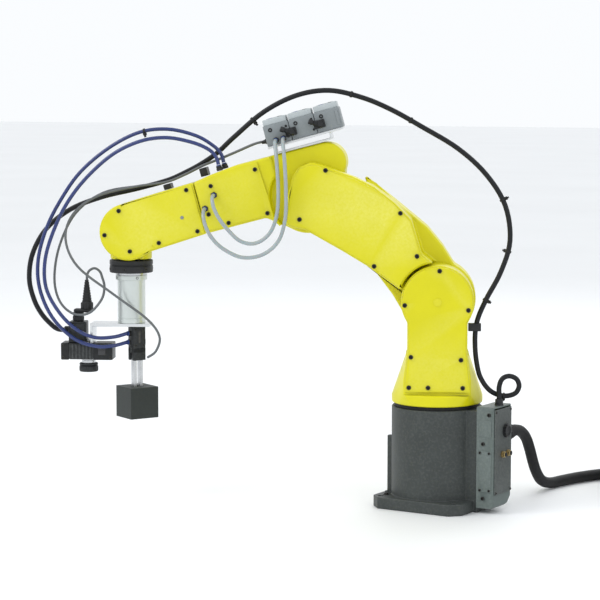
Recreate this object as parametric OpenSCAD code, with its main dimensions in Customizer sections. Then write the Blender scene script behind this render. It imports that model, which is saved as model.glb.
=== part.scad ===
// Compact six-axis articulated robot arm with a pneumatic gripper, a vision camera and its dress cables.
// Frame: origin at the centre of the mounting face on the first joint's axis, +X towards the front of
// the base, +Z up. Helper frames follow the links: arm() is the swung arm plane with u forward,
// v towards the robot's left and z up; upper() has z along the upper arm and x towards its underside;
// fore() has x along the forearm and z towards its top; wrist() is centred on the wrist pivot.

/* [Pose at rest] */
// Swing of the arm plane from the front of the base, degrees
swing = 28; // [0:1:60]
// Lean of the upper arm from vertical, degrees
lean = 51.4; // [46:0.2:56]
// Slope of the forearm below horizontal, degrees
slope = 15.2; // [12:0.2:18]
// Turn of the gripper about the tool axis, degrees
grip_turn = 37; // [0:1:90]

/* [Links] */
// Height of the shoulder axis above the mounting face
shoulder_z = 330; // [328:1:334]
// Length of the upper arm between its axes
upper_len = 260; // [258:1:264]
// Height of the forearm's own axis above the elbow axis
elbow_rise = 20; // [18:1:22]
// Distance from the elbow axis to the wrist axis along the forearm
fore_len = 290; // [288:1:294]
// Distance from the wrist axis to the tool flange's face
flange_drop = 70; // [68:1:74]

/* [Base] */
// Side of the square mounting plate
plate_side = 160; // [156:1:170]
// Thickness of the mounting plate
plate_t = 18; // [14:1:22]
// Radius of the base column
base_r = 72; // [71:1:74]
// Height of the base column's top
base_top = 160; // [158:1:160]
// Spacing of the four mounting bolts
bolt_pitch = 130; // [124:1:134]
// Radius of the mounting holes
bolt_hole_r = 4.5; // [4.3:0.1:5]
// Rear face of the connector box, behind the first joint's axis
box_back = 116; // [114:1:120]
// Half width of the connector box
box_half = 30; // [29:1:34]

/* [Turret and arms] */
// Radius of the shoulder disc on the near side
disc_r = 57; // [54:0.5:57.5]
// Half width of the turret's waist
waist = 47; // [44:1:47]
// Half thickness of the castings of turret and upper arm
half_t = 58; // [56:1:58]
// Thickness of the bolted side covers
cover_t = 3.8; // [3:0.2:3.8]
// Half thickness of the forearm
fore_t = 38; // [36:1:38]

/* [Tool] */
// Radius of the extension tube
tube_r = 22; // [20:0.5:23]
// Length of the extension tube
tube_len = 77; // [76:1:78]
// Side of the block that the gripper holds
block_side = 50; // [46:1:50]

/* [Cables] */
// Diameter of the robot's connection cable
main_d = 18; // [16:1:18]
// Diameter of the black dress cable
dress_d = 8; // [6:1:8]
// Diameter of the air tubes
air_d = 6; // [4:1:6]
// Diameter of the sensor leads
lead_d = 4; // [3:0.5:4]

/* [Hidden] */
$fn = 64;
seal = 1.5;

elbow_u = upper_len * sin(lean);
elbow_z = shoulder_z + upper_len * cos(lean);
wrist_u = elbow_u + fore_len * cos(slope) + elbow_rise * sin(slope);
wrist_z = elbow_z - fore_len * sin(slope) + elbow_rise * cos(slope);
hub_r = 60;
arc_r = hub_r + 1;
elbow_clear = 92;
turret_z = base_top + 6;

BLACK = [0.09, 0.09, 0.1];
YELLOW = [0.86, 0.83, 0.02];
GREY = [0.27, 0.3, 0.29];
PALE = [0.5, 0.56, 0.54];
STEEL = [0.75, 0.77, 0.78];
BLUE = [0.12, 0.2, 0.55];

// ---- frames of the links ----
module arm() rotate([0, 0, swing]) children();
module upper() arm() translate([0, 0, shoulder_z]) rotate([0, lean, 0]) children();
module fore() arm() translate([elbow_u, 0, elbow_z]) rotate([0, slope, 0]) children();
module wrist() arm() translate([wrist_u, 0, wrist_z]) children();
module gripper() wrist() translate([-8, 0, 0]) rotate([0, 0, grip_turn]) children();

// ---- shared shapes ----
// a side profile drawn in (x, z), solid from y = v0 to y = v1
module slab(v0, v1) translate([0, v1, 0]) rotate([90, 0, 0]) linear_extrude(v1 - v0) children();
// a round bar along y
module bar(x, z, r, v0, v1) translate([x, v0, z]) rotate([-90, 0, 0]) cylinder(r = r, h = v1 - v0);
// a round bar along x
module rod(x0, x1, y, z, r) translate([x0, y, z]) rotate([0, 90, 0]) cylinder(r = r, h = x1 - x0);
// a box given by its two corners
module box(a, b) translate(a) cube(b - a);

// cap screws whose heads rest on the face y = v; side is 1 for a face that looks along +y
module screws(places, v, side, head_r = 4, deep = 5) {
    for (p = places) {
        bar(p[0], p[1], head_r, side > 0 ? v : v - 2.6, side > 0 ? v + 2.6 : v);
        bar(p[0], p[1], head_r * 0.45, side > 0 ? v - deep : v, side > 0 ? v : v + deep);
    }
}
// the clearance holes of those screws
module screw_holes(places, v, side, head_r = 4, deep = 5.5) {
    for (p = places) bar(p[0], p[1], head_r * 0.45 + 0.1, side > 0 ? v - deep : v - 1, side > 0 ? v + 1 : v + deep);
}

// ---- cables: a smooth curve through hand-placed points, swept by a ring ----
function blend3(a, b, c, d, t) =
    0.5 * (2 * b + (c - a) * t + (2 * a - 5 * b + 4 * c - d) * t * t + (3 * b - a - 3 * c + d) * t * t * t);
function curve(p, steps) = let (n = len(p) - 1) [
    for (i = [0 : n - 1], k = [0 : steps - 1])
        blend3(p[max(i - 1, 0)], p[i], p[i + 1], p[min(i + 2, n)], k / steps),
    p[n]
];
function unit(a) = a / norm(a);
function heading(c, i) = unit(c[min(i + 1, len(c) - 1)] - c[max(i - 1, 0)]);
// rings are laid on the whole curve c, so that two stretches of one cable meet face to face
module cable(c, d, side, first = 0, last = -1, n = 8) {
    end = last < 0 ? len(c) - 1 : last;
    points = [
        for (i = [first : end]) let (t = heading(c, i), a = unit(cross(t, side)), b = cross(t, a))
            for (k = [0 : n - 1]) c[i] + d / 2 * (cos(360 * k / n) * a + sin(360 * k / n) * b)
    ];
    rings = end - first;
    polyhedron(points, concat(
        [[for (k = [0 : n - 1]) k]],
        [for (i = [0 : rings - 1], k = [0 : n - 1])
            [i * n + k, (i + 1) * n + k, (i + 1) * n + (k + 1) % n, i * n + (k + 1) % n]],
        [[for (k = [n - 1 : -1 : 0]) rings * n + k]]));
}
module arm_cable(c, d, first = 0, last = -1) arm() cable(c, d, [0, 1, 0], first, last);

// the black dress cable, in the arm plane: socket, curl, turret clip, arc over the elbow, forearm, camera
DRESS = [
    [-97, 52, 172.1], [-97, 52, 184], [-97, 51, 198], [-102, 50, 210], [-113, 49, 214], [-124, 47, 209],
    [-128, 46, 198], [-123, 44, 187], [-111, 42, 182], [-97, 42, 183], [-83, 43, 190], [-72, 43, 203],
    [-64, 44, 222], [-59, 44, 258], [-61, 44, 296],
    [-75, 42, 332], [-98, 39, 376], [-112, 37, 425], [-104, 34, 480], [-74, 30, 528], [-30, 26, 568],
    [27, 22, 602], [74, 19, 628], [120, 16, 647], [172, 12, 658], [224, 7, 650], [276, 1, 624],
    [324, -6, 584], [350, -9, 560], [376, -10, 542], [404, -10, 527], [432, -9, 515],
    [480, -7, 502], [535, -4, 489], [586, -3, 469], [625, -3, 438], [648, -4, 398],
    [654, -4, 358], [647, -4, 325], [635, -5, 301], [620, -6, 284], [609.5, -6, 276.5], [598.7, -6, 275]
];
DRESS_STEPS = 2;
DRESS_CUTS = [for (i = [0, 14, 20, 29, 31, 36, 42]) i * DRESS_STEPS];
// two sensor leads that leave the valve block, cross the forearm and end at the camera and the gripper
LEAD_A = [
    [271, -20, 578], [290, -20, 574], [318, -20, 562], [346, -20, 550], [374, -20, 539], [402, -19, 525],
    [432, -19, 513], [477, -18, 506], [535, -17, 495], [580, -16, 462], [606, -13, 410],
    [614, -8, 358], [604, 2, 322], [580, 13, 303], [554, 15, 305], [535, 11, 326], [531, 6, 346],
    [535, 3, 361], [539, 1, 370], [547, 0, 375], [555, 0, 372], [559.5, 0, 365], [560, 0, 356.8]
];
LEAD_A_STEPS = 2;
LEAD_A_CUTS = [for (i = [0, 4, 6, 10, 22]) i * LEAD_A_STEPS];
LEAD_B = [
    [271, 3, 578], [290, 3, 574], [318, 3, 562], [346, 3, 550], [374, 3, 539], [402, 3, 525],
    [432, 4, 513], [480, 6, 506], [540, 10, 491], [578, 16, 463], [590, 22, 424],
    [570, 28, 380], [512, 31, 336], [460, 31, 298], [440, 29, 270], [446, 24, 246], [461, 14, 234]
];
LEAD_B_STEPS = 2;
LEAD_B_CUTS = [for (i = [0, 4, 6, 10, 16]) i * LEAD_B_STEPS];
// two air tubes from the elbow's fittings to the gripper
AIR_A = [
    [338, 15, 545], [342, 15, 558], [354, 15, 571], [382, 14, 587], [426, 13, 597], [472, 12, 592], [520, 12, 568],
    [566, 12, 530], [598, 12, 486], [622, 12, 440], [636, 12, 390], [634, 14, 344],
    [614, 19, 299], [580, 24, 266], [544, 27, 253], [516, 22, 253], [495.6, 7.7, 257.3]
];
AIR_B = [
    [345, 27, 542], [349, 27, 554], [361, 26, 566], [388, 25, 577], [428, 24, 584], [470, 23, 578], [514, 22, 557],
    [556, 22, 520], [587, 22, 480], [609, 22, 436], [623, 22, 390], [622, 23, 346],
    [602, 25, 308], [574, 27, 280], [544, 27, 267], [515, 20, 267], [495.6, 7.7, 271.3]
];
AIR_STEPS = 2;
AIR_CUTS = [for (i = [0, 5, 9, 16]) i * AIR_STEPS];
// two pale tubes that hang in a U from the valve block to the forearm's side
PALE_A = [
    [254, 36.5, 580], [254, 48, 579], [253, 60, 573], [251, 69, 560], [249, 74, 540], [247, 76, 505], [249, 76, 468],
    [260, 77, 438], [282, 77, 422], [306, 77, 425], [326, 77, 443], [339, 77, 460], [347, 75, 475], [350.5, 70, 487],
    [351, 60, 493.5], [351, 47.9, 494.5]
];
PALE_B = [
    [242, 36.5, 583], [242, 48, 582], [241, 60, 577], [239, 70, 565], [237, 76, 545], [235, 78, 505], [236, 79, 460],
    [247, 79, 425], [272, 79, 404], [304, 79, 400], [334, 79, 414], [352, 78, 432],
    [361, 76, 450], [364.5, 70, 464], [365, 60, 471.5], [365, 47.9, 473]
];
PALE_STEPS = 2;
// the connection cable: from the gland down to the table, then away to the coil
MAIN = [
    [-100, -65.2, 118], [-100, -72, 118], [-100, -80, 117.6], [-100, -98, 113], [-100, -117, 100],
    [-99, -133, 80], [-98, -147, 58], [-97, -163, 37], [-96, -186, 19], [-97, -218, 10], [-103, -254, 9.2],
    [-114, -296, 9.2], [-136, -344, 9.2], [-178, -390, 9.2], [-232, -424, 9.2]
];
MAIN_STEPS = 2;
coil_at = [-300, -330];
coil_mid_r = 100;
coil_rings = 2;
coil_layers = 3;

// ---- base ----
module bolt_places() for (x = [-1, 1], y = [-1, 1]) translate([x, y, 0] * bolt_pitch / 2) children();
module plate_outline() {
    c = plate_side / 2;
    difference() {
        square(plate_side, center = true);
        for (a = [0 : 90 : 270]) rotate(a) translate([c, c]) rotate(45) square([24, 24], center = true);
    }
}
module base_casting() color(GREY) difference() {
    union() {
        linear_extrude(plate_t) plate_outline();
        cylinder(r = base_r, h = base_top);
        for (s = [-1, 1]) slab_rib(s);
        box([-neck_back, -27, 0], [0, 27, base_top]);
    }
    translate([0, 0, plate_t]) cylinder(r = 60, h = base_top - plate_t - 14);
    translate([0, 0, 1]) cylinder(r = 34, h = base_top);
    translate([0, 0, -1]) cylinder(r = 34, h = 20);
    bolt_places() translate([0, 0, -1]) cylinder(r = bolt_hole_r, h = plate_t + 2);
    for (s = [-1, 1]) box([-90, s * 14 - 6, 60], [-50, s * 14 + 6, 130]);
}
// a flat vertical rib at the front of the column
module slab_rib(s) box([base_r - 14, s * 26 - 4, 0], [base_r + 2, s * 26 + 4, 110]);
neck_back = 86;
gland_x = -100;
module connector_box() color(PALE) difference() {
    slab(-box_half, box_half) polygon([
        [-box_back, 12], [-box_back + 4, 8], [-neck_back, 8], [-neck_back, 168], [-box_back, 168]
    ]);
    box([-box_back - 1, -box_half + 3, 30], [-neck_back + 1, box_half - 3, 165]);
    translate([-box_back - 1, -box_half, 8]) rotate([45, 0, 0]) cube([60, 20, 20], center = true);
    translate([gland_x, -box_half - 1, 118]) rotate([-90, 0, 0]) cylinder(r = 12, h = 6);
    screw_holes(PANEL_SCREWS, box_half, 1, 3);
}
PANEL_SCREWS = [[-98, 110], [-98, 24], [-108, 156]];
module rear_panel() color(PALE) difference() {
    box([-box_back - 2, -box_half + 2, 30], [-box_back - 0.2, box_half - 2, 164]);
    rod(-box_back - 6, -box_back + 2, -8, 128, 9.1);
    for (y = [-14, 4]) rod(-box_back - 6, -box_back + 2, y, 92, 5.1);
}
module rear_connectors() {
    color(BLACK) rod(-box_back - 7, -box_back + 8, -8, 128, 9);
    color(STEEL) for (y = [-14, 4]) rod(-box_back - 6, -box_back + 6, y, 92, 5);
    color(BLACK) screws(PANEL_SCREWS, box_half, 1, 3);
}
module cable_gland() color(BLACK) translate([gland_x, 0, 118]) rotate([90, 0, 0]) {
    translate([0, 0, box_half - 6]) cylinder(r = 11.9, h = 6);
    translate([0, 0, box_half]) cylinder(r = 17, h = 8, $fn = 6);
    translate([0, 0, box_half + 8]) cylinder(r1 = 15, r2 = main_d / 2 + 2, h = 27);
}
module robot_cable() color(BLACK) cable(curve(MAIN, MAIN_STEPS), main_d, [1, 0, 0], 0, -1, 12);
module cable_coil() color(BLACK) translate([coil_at[0], coil_at[1], 0]) rotate_extrude($fn = 72)
    translate([coil_mid_r - coil_rings * main_d / 2, 0.1]) square([coil_rings * main_d, coil_layers * main_d]);
// the plug lies on top of the coil, along its turns
plug_turn = 68;
module cable_plug() color(GREY)
    translate([coil_at[0], coil_at[1], coil_layers * main_d + 0.3]) rotate([0, 0, plug_turn])
        translate([coil_mid_r, 0, 0]) rotate([0, 0, -90]) {
            box([-30, -21, 0], [40, 21, 44]);
            box([-42, -11, 11], [-30, 11, 33]);
        }
module j1_motor() color(BLACK) translate([0, 0, plate_t + 1]) {
    cylinder(r = 30, h = 58);
    translate([0, 0, 58]) cylinder(r = 12, h = 8);
}
module j1_reducer() color(STEEL) translate([0, 0, 86]) difference() {
    cylinder(r = 52, h = 46);
    translate([0, 0, -1]) cylinder(r = 11, h = 50);
}
module j1_bearing() color(BLACK) translate([0, 0, base_top]) difference() {
    cylinder(r = base_r - 4, h = 5.6);
    translate([0, 0, -1]) cylinder(r = 36, h = 8);
}
module dress_socket() color(BLACK) arm() translate([-97, 52, 168]) {
    cylinder(r = 7.5, h = 2);
    translate([0, 0, 2]) difference() {
        cylinder(r = 6.4, h = 8);
        translate([0, 0, 1.99]) cylinder(r = dress_d / 2 + 0.3, h = 8);
    }
}
DRESS_CURVE = curve(DRESS, DRESS_STEPS);
module dress_over_j1() color(BLACK) arm_cable(DRESS_CURVE, dress_d, DRESS_CUTS[0], DRESS_CUTS[1]);

// ---- turret ----
TURRET_SCREWS = [[-3, 379], [51, 325], [-48, 318], [41, 244], [-37, 240], [14, 196], [-40, 196], [44, 196]];
module turret_face(i) {
    translate([0, shoulder_z]) circle(disc_r - i);
    polygon([
        [-waist + i, shoulder_z], [-waist + i, 255], [-52 + i, 206], [-54 + i, 186 + i],
        [54 - i, 186 + i], [52 - i, 206], [waist - i, 255], [waist - i, shoulder_z]
    ]);
}
module turret_casting() color(YELLOW) arm() difference() {
    union() {
        hull() {
            translate([0, 0, turret_z]) cylinder(r = base_r, h = 12);
            box([-waist, -half_t, 244], [waist, half_t, 245]);
            box([-52, 0, 186], [52, half_t, 210]);
        }
        slab(1, half_t) intersection() {
            turret_face(0);
            translate([-80, 240]) square([160, 200]);
        }
        box([-waist, -half_t, 244], [waist, 1, shoulder_z - hub_r - 8]);
    }
    box([-80, half_t, 184], [80, 90, 260]);
    translate([0, 0, turret_z - 1]) cylinder(r = 46, h = 34);
    bar(0, shoulder_z, 46, 14, half_t + 1);
    bar(0, shoulder_z, 24, 0, 20);
    screw_holes(TURRET_SCREWS, half_t, 1, 3.6, 4);
}
module turret_cover() color(YELLOW) arm() difference() {
    union() {
        slab(half_t + 0.2, half_t + cover_t) turret_face(2.5);
        bar(0, shoulder_z, 6, half_t + cover_t, half_t + cover_t + 1.2);
    }
    screw_holes(TURRET_SCREWS, half_t + cover_t, 1, 3.6);
}
module turret_screws() color(BLACK) arm() screws(TURRET_SCREWS, half_t + cover_t, 1, 3.6);
module j2_motor() color(BLACK) arm() bar(0, shoulder_z, 38, 34, half_t - 1);
module j2_reducer() color(STEEL) arm() {
    bar(0, shoulder_z, 45, 15, 33);
    bar(0, shoulder_z, 23, 0.6, 15);
}
module turret_clip() color(BLACK) arm() {
    difference() {
        box([-68, 37, 284], [-waist - 1, 51, 296]);
        translate([-60.3, 44, 280]) cylinder(r = dress_d / 2 + 1.4, h = 20);
    }
}
module dress_over_j2() color(BLACK) arm_cable(DRESS_CURVE, dress_d, DRESS_CUTS[1], DRESS_CUTS[2]);

// ---- upper arm ----
ARM_SCREWS = [[-51, 264], [-72, 132], [-36, 70], [18, 112], [34, 248]];
// the near outline, drawn as (x, z) with x towards the arm's underside
module near_outline(i) difference() {
    polygon([
        [-43 + i, 40], [-43 + i, 66], [-74 + i, 112], [-79 + i, 150], [-78 + i, 190], [-71 + i, 222],
        [-52 + i, 278], [-46 + i, 290 - i], [-28, 300 - i], [-12, 299 - i], [20 - i, 284 - i], [46 - i, 268 - i],
        [54 - i, 258], [52 - i, 250], [42 - i, 232], [31 - i, 165], [25 - i, 120], [22 - i, 60], [20 - i, 40]
    ]);
    circle(arc_r + i);
}
// the far outline: shoulder hub, bulging back edge and a round cut around the elbow casing
module far_outline(i) difference() {
    union() {
        circle(hub_r - i);
        polygon([
            [-58 + i, 12], [-70 + i, 46], [-78 + i, 84], [-79 + i, 150], [-78 + i, 220], [42 - i, 220],
            [31 - i, 165], [26 - i, 115], [40 - i, 60], [56 - i, 18]
        ]);
    }
    translate([0, upper_len]) circle(elbow_clear + i);
}
module upper_arm_casting() color(YELLOW) upper() difference() {
    union() {
        slab(-half_t, 0) far_outline(0);
        difference() {
            slab(-1, half_t) near_outline(0);
            bar(0, upper_len, elbow_clear, -2, 24);
        }
    }
    bar(0, 0, 40, -half_t - 1, -14);
    bar(0, 0, 24.5, -20, 1);
    bar(0, upper_len, 24, 23, half_t + 1);
    slab(-half_t - 1, -half_t + 20) translate([-42, 84]) square([48, 66]);
    slab(half_t - 20, half_t + 1) translate([-52, 120]) square([60, 60]);
    screw_holes(ARM_SCREWS, half_t, 1, 3.6, 4);
    screw_holes(ARM_FAR_SCREWS, -half_t, -1, 3.6, 4);
}
ARM_FAR_SCREWS = [[0, -50], [-50, 0], [50, 6], [-68, 130], [20, 130]];
module upper_arm_cover_near() color(YELLOW) upper() difference() {
    slab(half_t + 0.2, half_t + cover_t) near_outline(3);
    screw_holes(ARM_SCREWS, half_t + cover_t, 1, 3.6);
}
module upper_arm_cover_far() color(YELLOW) upper() difference() {
    slab(-half_t - cover_t, -half_t - 0.2) far_outline(3);
    screw_holes(ARM_FAR_SCREWS, -half_t - cover_t, -1, 3.6);
}
module upper_arm_screws() color(BLACK) upper() {
    screws(ARM_SCREWS, half_t + cover_t, 1, 3.6);
    screws(ARM_FAR_SCREWS, -half_t - cover_t, -1, 3.6);
}
module j3_motor() color(BLACK) upper() translate([-22, half_t - 19, 150]) rotate([-90, 0, 0]) cylinder(r = 27, h = 18);
module j3_bearing() color(STEEL) upper() bar(0, upper_len, 23.9, 24, half_t - 1);
module dress_over_j3() color(BLACK) arm_cable(DRESS_CURVE, dress_d, DRESS_CUTS[2], DRESS_CUTS[3]);

// ---- elbow casing ----
seam_x = 168.5;
ELBOW_SCREWS = [[69, 63], [68, -8], [143, 56], [131, -7], [158, 14]];
module elbow_outline() {
    circle(hub_r - 2);
    translate([-40, 44]) circle(32);
    polygon([
        [-72, 44], [-40, 76], [100, 77], [140, 73], [seam_x, 68.5], [seam_x, -14.5], [72, -15],
        [40, -42], [0, -58], [-58, 0]
    ]);
}
module elbow_housing() color(YELLOW) fore() difference() {
    union() {
        slab(-50, 22) elbow_outline();
        slab(-50, fore_t) intersection() {
            elbow_outline();
            difference() {
                translate([40, -60]) square([200, 200]);
                circle(hub_r);
            }
        }
    }
    rod(60, seam_x + 1, 0, elbow_rise, 27);
    translate([120, -60, -90]) box([0, 0, 0], [60, 22, 200]);
    screw_holes(ELBOW_SCREWS, fore_t, 1, 3.4, 4);
    screw_holes(ELBOW_FAR_SCREWS, -50, -1, 3.4, 4);
}
ELBOW_FAR_SCREWS = [[-38, 62], [60, 64], [108, 64], [58, -14], [108, -6], [-44, -6], [4, -44]];
module elbow_cover() color(YELLOW) fore() {
    difference() {
        slab(fore_t + 0.2, fore_t + 3) polygon([
            [63, 74], [100, 74], [140, 70], [seam_x - 2, 66], [seam_x - 2, -11], [72, -12], [60, -24], [60, 20]
        ]);
        screw_holes(ELBOW_SCREWS, fore_t + 3, 1, 3.4);
        for (p = FITTING_PLACES) bar(p[0], p[1], 3.1, fore_t - 1, fore_t + 4);
    }
    difference() {
        slab(-53, -50.2) intersection() {
            offset(delta = -3) elbow_outline();
            translate([-100, -100]) square([217, 200]);
        }
        screw_holes(ELBOW_FAR_SCREWS, -53, -1, 3.4);
    }
}
module elbow_screws() color(BLACK) fore() {
    screws(ELBOW_SCREWS, fore_t + 3, 1, 3.4);
    screws(ELBOW_FAR_SCREWS, -53, -1, 3.4);
}
module valve_bracket() color(STEEL) fore() {
    box([-60, -26, 77.2], [34, 26, 80]);
    box([-60, -26, 80], [-57, 26, 88]);
    box([31, -26, 80], [34, 26, 88]);
    box([-80, -28, 88], [42, 28, 91]);
}
module valve_block() color([0.66, 0.7, 0.72]) fore() difference() {
    box([-82, -26, 91.2], [42, 26, 134]);
    for (x = [-58, -12]) box([x, 14, 98], [x + 34, 30, 112]);
    for (x = [-66 : 22 : 22]) translate([x, 0, 128]) cylinder(r = 3, h = 8);
}
module valve_fittings() color(BLACK) fore() {
    for (x = [-58, -12]) {
        box([x + 2, 14, 99], [x + 32, 29, 111]);
        bar(x + 10, 105, 5, 29, 40);
    }
    for (x = [26, 14]) bar(x, x == 26 ? 94.4 + 4 : 98.2, 4.6, 26, 36);
}
FITTING_PLACES = [[142, 41], [161, 24]];
module elbow_fittings() fore() {
    color(BLACK) for (p = FITTING_PLACES) {
        bar(p[0], p[1], 3, fore_t, fore_t + 3);
        bar(p[0], p[1], 5, fore_t + 3, fore_t + 9);
    }
    color(BLACK) {
        translate([116, 15, 76.5]) cylinder(r = 5, h = 9);
        translate([124, 27, 75.5]) cylinder(r = 5, h = 9);
    }
}
module elbow_clip() color(BLACK) fore() box([146, -25, 73], [158, 8, 86.4]);
module j4_drive() fore() {
    color(BLACK) rod(62, 118, 0, elbow_rise, 26);
    color(STEEL) rod(118.5, seam_x - 0.5, 0, elbow_rise, 26.5);
}
module valve_tubes() color([0.6, 0.64, 0.66]) {
    arm_cable(curve(PALE_A, PALE_STEPS), air_d);
    arm_cable(curve(PALE_B, PALE_STEPS), air_d);
}
LEAD_A_CURVE = curve(LEAD_A, LEAD_A_STEPS);
LEAD_B_CURVE = curve(LEAD_B, LEAD_B_STEPS);
AIR_A_CURVE = curve(AIR_A, AIR_STEPS);
AIR_B_CURVE = curve(AIR_B, AIR_STEPS);
module valve_leads() color(GREY) {
    arm_cable(LEAD_A_CURVE, lead_d, LEAD_A_CUTS[0], LEAD_A_CUTS[1]);
    arm_cable(LEAD_B_CURVE, lead_d, LEAD_B_CUTS[0], LEAD_B_CUTS[1]);
}
// the stretch of every cable that crosses one of the last three joints, counted from 4
module cables_over(k) {
    color(BLACK) arm_cable(DRESS_CURVE, dress_d, DRESS_CUTS[k - 1], DRESS_CUTS[k]);
    color(GREY) arm_cable(LEAD_A_CURVE, lead_d, LEAD_A_CUTS[k - 3], LEAD_A_CUTS[k - 2]);
    color(GREY) arm_cable(LEAD_B_CURVE, lead_d, LEAD_B_CUTS[k - 3], LEAD_B_CUTS[k - 2]);
    color(BLUE) arm_cable(AIR_A_CURVE, air_d, AIR_CUTS[k - 4], AIR_CUTS[k - 3]);
    color(BLUE) arm_cable(AIR_B_CURVE, air_d, AIR_CUTS[k - 4], AIR_CUTS[k - 3]);
}
module cables_over_j4() cables_over(4);

// ---- forearm ----
fork_x = 232;
end_r = 45;
FORE_SCREWS = [[182, 60], [182, -7], [294, 56], [326, 25], [294, -10], [246, -9]];
module forearm_outline(i) {
    translate([fore_len, elbow_rise]) circle(end_r - i);
    polygon([
        [seam_x + 1 + i, 68.5 - i], [240, 67 - i], [fore_len, elbow_rise + end_r - i],
        [fore_len, elbow_rise - end_r + i], [262, elbow_rise - 39 + i], [seam_x + 1 + i, -14.5 + i]
    ]);
}
module forearm_casting() color(YELLOW) fore() difference() {
    slab(-fore_t, fore_t) forearm_outline(0);
    slab(-24, 24) translate([fork_x, -60]) square([150, 200]);
    rod(seam_x, fork_x - 8, 0, elbow_rise, 26);
    bar(fore_len, elbow_rise, 16, -fore_t - 1, fore_t + 1);
    screw_holes(FORE_SCREWS, fore_t, 1, 3.4, 4);
    screw_holes(FORE_SCREWS, -fore_t, -1, 3.4, 4);
    slab(fore_t - 10, fore_t + 1) forearm_belt_pocket();
}
module forearm_belt_pocket() {
    translate([200, elbow_rise]) circle(14);
    translate([fore_len, elbow_rise]) circle(20);
    translate([200, elbow_rise - 13]) square([fore_len - 200, 26]);
}
module fore_cover(v0, v1, face, side) difference() {
    slab(v0, v1) forearm_outline(2.5);
    screw_holes(FORE_SCREWS, face, side, 3.4);
}
module forearm_cover_near() color(YELLOW) fore() fore_cover(fore_t + 0.2, fore_t + 3, fore_t + 3, 1);
module forearm_cover_far() color(YELLOW) fore() fore_cover(-fore_t - 3, -fore_t - 0.2, -fore_t - 3, -1);
module forearm_screws() color(BLACK) fore() {
    screws(FORE_SCREWS, fore_t + 3, 1, 3.4);
    screws(FORE_SCREWS, -fore_t - 3, -1, 3.4);
}
module forearm_clip() color(BLACK) fore() box([208, -23, 68.2], [220, 9, 76.6]);
module j5_motor() color(BLACK) fore() rod(seam_x + 6, fork_x - 12, 0, elbow_rise, 25);
module wrist_belt() color(BLACK) fore() {
    bar(200, elbow_rise, 12, fore_t - 9, fore_t - 1);
    bar(fore_len, elbow_rise, 15, fore_t - 9, fore_t - 1);
    for (s = [-1, 1]) translate([212, fore_t - 9, elbow_rise + s * 10 - 1]) cube([66, 8, 2]);
}
module cables_over_j5() cables_over(5);

// ---- wrist ----
ring_top = -46;
ring_t = 20;
module wrist_housing() color(YELLOW) wrist() difference() {
    union() {
        bar(0, 0, 33, -23, 23);
        intersection() {
            translate([0, 0, ring_top + seal]) cylinder(r = 33, h = -ring_top - seal + 8);
            box([-40, -23, -60], [40, 23, 40]);
        }
    }
    translate([0, 0, ring_top]) cylinder(r = 18.2, h = 40);
}
module j6_motor() color(BLACK) wrist() translate([0, 0, ring_top + 2]) cylinder(r = 18, h = 34);
module cables_over_j6() cables_over(6);

// ---- tool ----
module tool_flange() wrist() {
    color(BLACK) translate([0, 0, ring_top - ring_t]) cylinder(r = 34.5, h = ring_t);
    color(STEEL) translate([0, 0, -flange_drop]) cylinder(r = 25, h = flange_drop + ring_top - ring_t);
}
tube_foot = -flange_drop - tube_len;
module extension_tube() color(STEEL) wrist() difference() {
    union() {
        translate([0, 0, -flange_drop - 8]) cylinder(r = 25, h = 7.9);
        translate([0, 0, tube_foot]) cylinder(r = tube_r, h = tube_len - 8);
    }
    translate([0, 0, tube_foot + 6]) cylinder(r = tube_r - 4, h = tube_len);
}
module camera_bracket() color([0.8, 0.82, 0.84]) wrist() {
    box([-31, -20, tube_foot - 5], [60, 20, tube_foot - 0.1]);
    box([60, -20, tube_foot - 31.8], [64, 20, tube_foot - 0.1]);
    box([64, -6, tube_foot - 31.8], [70, 6, tube_foot - 26]);
}
cam_top = tube_foot - 32;
module vision_camera() wrist() {
    color(BLACK) box([29, -18, cam_top - 27], [112, 18, cam_top]);
    color(BLACK) box([72, -14, cam_top], [100, 14, cam_top + 34]);
    color(STEEL) translate([70, 0, cam_top - 33]) cylinder(r = 11, h = 6);
    color(BLACK) translate([70, 0, cam_top - 47]) difference() {
        cylinder(r = 15, h = 14);
        translate([0, 0, -1]) cylinder(r = 10, h = 8);
    }
}
module camera_plugs() color(BLACK) wrist() {
    translate([72, 0, -125]) {
        translate([14, 0, -19.8]) cylinder(r = 9, h = 13.8);
        translate([0, 0, -6]) hull() {
            cylinder(r = 11, h = 6);
            translate([14, 0, 0]) cylinder(r = 9, h = 6);
        }
        cylinder(r = 10, h = 10);
        translate([0, 0, 10]) cylinder(r1 = 8, r2 = 3.4, h = 36);
    }
    rod(100.1, 110, -6, cam_top + 18.5, 6.5);
}
grip_top = tube_foot - 5.2;
grip_len = 55;
grip_foot = grip_top - grip_len;
block_top = grip_foot - 42;
jaw_reach = 12;
pocket = [16.4, 10.4, jaw_reach + 1];
module gripper_body() gripper() {
    color(BLACK) box([-11, -9, grip_foot + 20], [11, 9, grip_top]);
    color(BLACK) difference() {
        box([-11, -9, grip_foot], [11, 9, grip_foot + 20]);
        box([-12, -4.2, grip_foot - 1], [12, 4.2, grip_foot + 12]);
    }
    color(BLUE) for (z = [grip_top - 12, grip_top - 26]) rod(11, 16, -3, z, 4);
}
module jaw(s) gripper() mirror([s < 0 ? 1 : 0, 0, 0]) {
    box([3, -4, grip_foot - 4], [8, 4, grip_foot + 11.5]);
    box([3, -5, block_top - jaw_reach], [8, 5, grip_foot - 0.4]);
}
module jaw_left() color(STEEL) jaw(1);
module jaw_right() color(STEEL) jaw(-1);
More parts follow.
